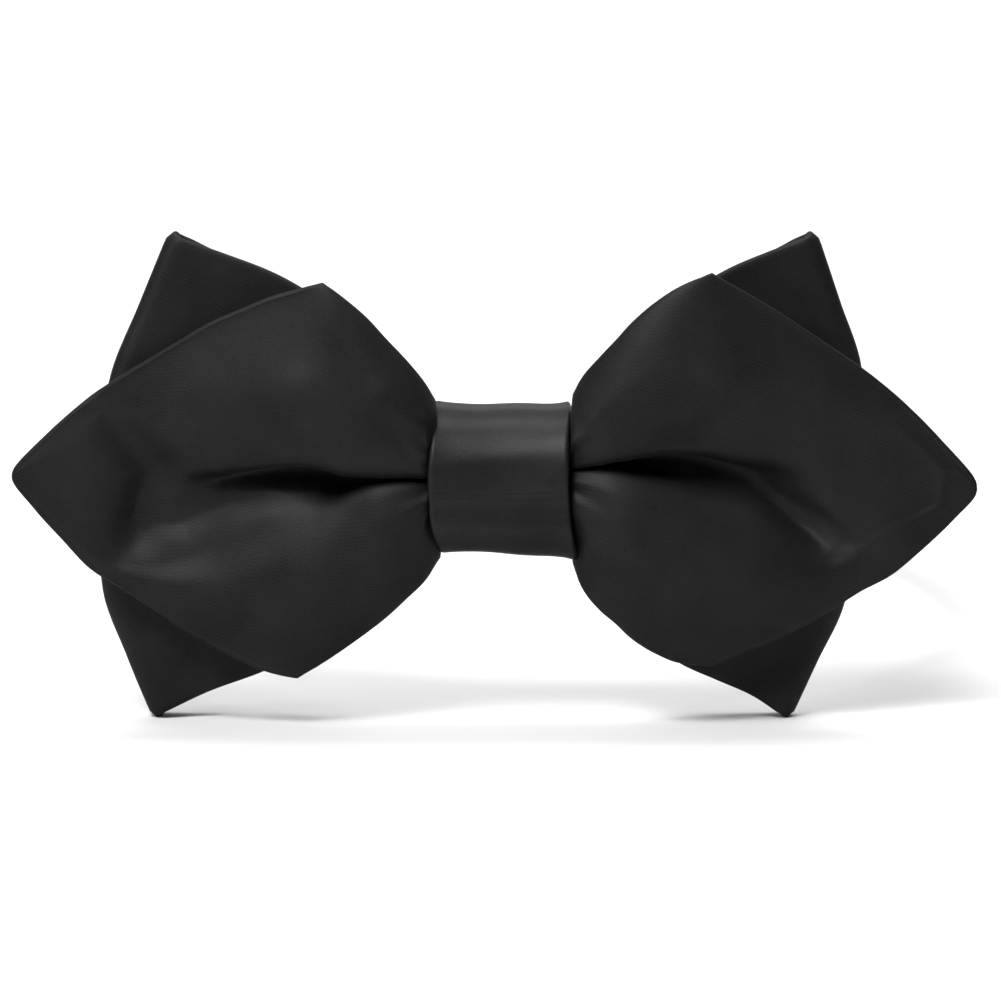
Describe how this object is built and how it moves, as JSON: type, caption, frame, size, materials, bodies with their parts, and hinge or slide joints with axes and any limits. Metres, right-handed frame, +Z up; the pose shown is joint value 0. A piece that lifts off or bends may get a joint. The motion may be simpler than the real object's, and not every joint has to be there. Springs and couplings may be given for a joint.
{
  "type": "diamond point bow tie",
  "caption": "Pre-tied bow tie: pointed front wings over a square-cornered back bow, a wrapped centre knot, and a closed neck band with a plain rear clasp.",
  "frame": {"origin": "on the surface that it stands on, under the centre of the whole bow tie's box", "axes": "+Z up, -Y out of the bow's front face, +X to the right of someone who looks at the front"},
  "size_m": [0.1202, 0.1554, 0.0612],
  "materials": {
    "satin": "fine twilled black satin with a soft sheen",
    "knot_satin": "black satin pulled smooth, brighter than the wings",
    "ribbon": "matte black woven ribbon",
    "black_metal": "smooth black enamel"
  },
  "bodies": {
    "root": {"front_bow": "satin", "back_bow": "satin", "knot": "knot_satin", "neck_band": "ribbon", "clasp": "black_metal"}
  },
  "joints": []
}
